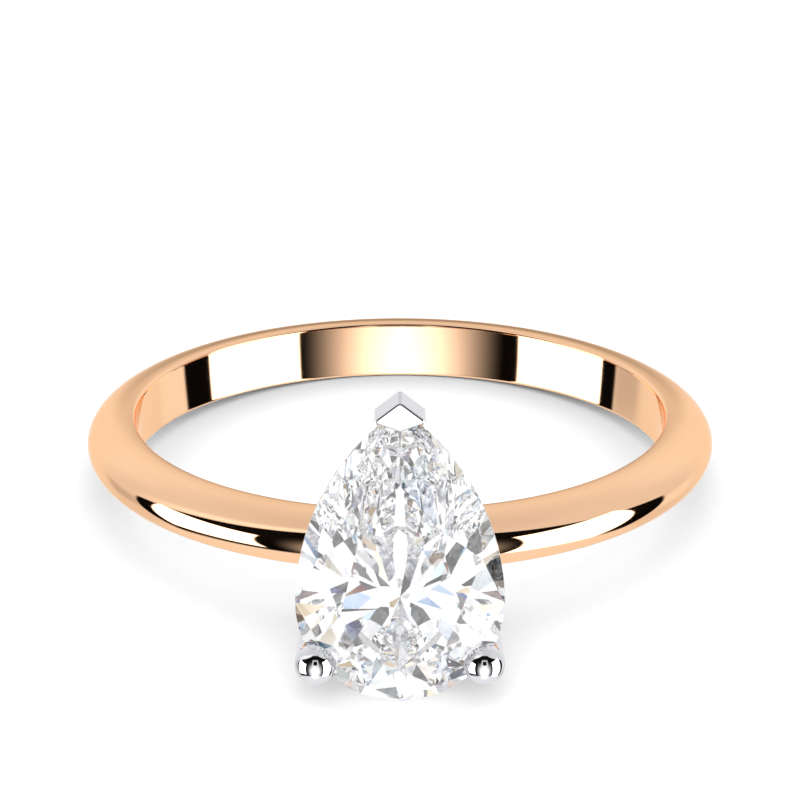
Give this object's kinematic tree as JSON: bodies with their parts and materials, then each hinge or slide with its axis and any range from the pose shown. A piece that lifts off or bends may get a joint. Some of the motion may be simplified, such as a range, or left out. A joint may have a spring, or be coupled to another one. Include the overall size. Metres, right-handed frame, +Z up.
{
  "type": "engagement ring",
  "caption": "Solitaire engagement ring: plain domed rose gold band with a pear-cut diamond held in a white metal claw head.",
  "frame": {"origin": "centre of the bounding box's bottom face: the ring lies on its side on the table at z = 0", "axes": "+Z up from the table, -Y the way the diamond's table faces, +X to the right seen from the diamond's side"},
  "size_m": [0.0194, 0.0244, 0.0095],
  "materials": {
    "rose_gold": "high polish rose gold",
    "white_gold": "high polish rhodium-plated white gold",
    "solder": "polished white gold solder",
    "diamond": "polished facets, colourless"
  },
  "bodies": {
    "root": {"shank": "rose_gold", "head_peg": "white_gold", "base_collet": "white_gold", "gallery_rail": "white_gold", "claw_left": "white_gold", "claw_right": "white_gold", "claw_point": "white_gold", "seat_solder": "solder", "pear_diamond": "diamond"}
  },
  "joints": []
}
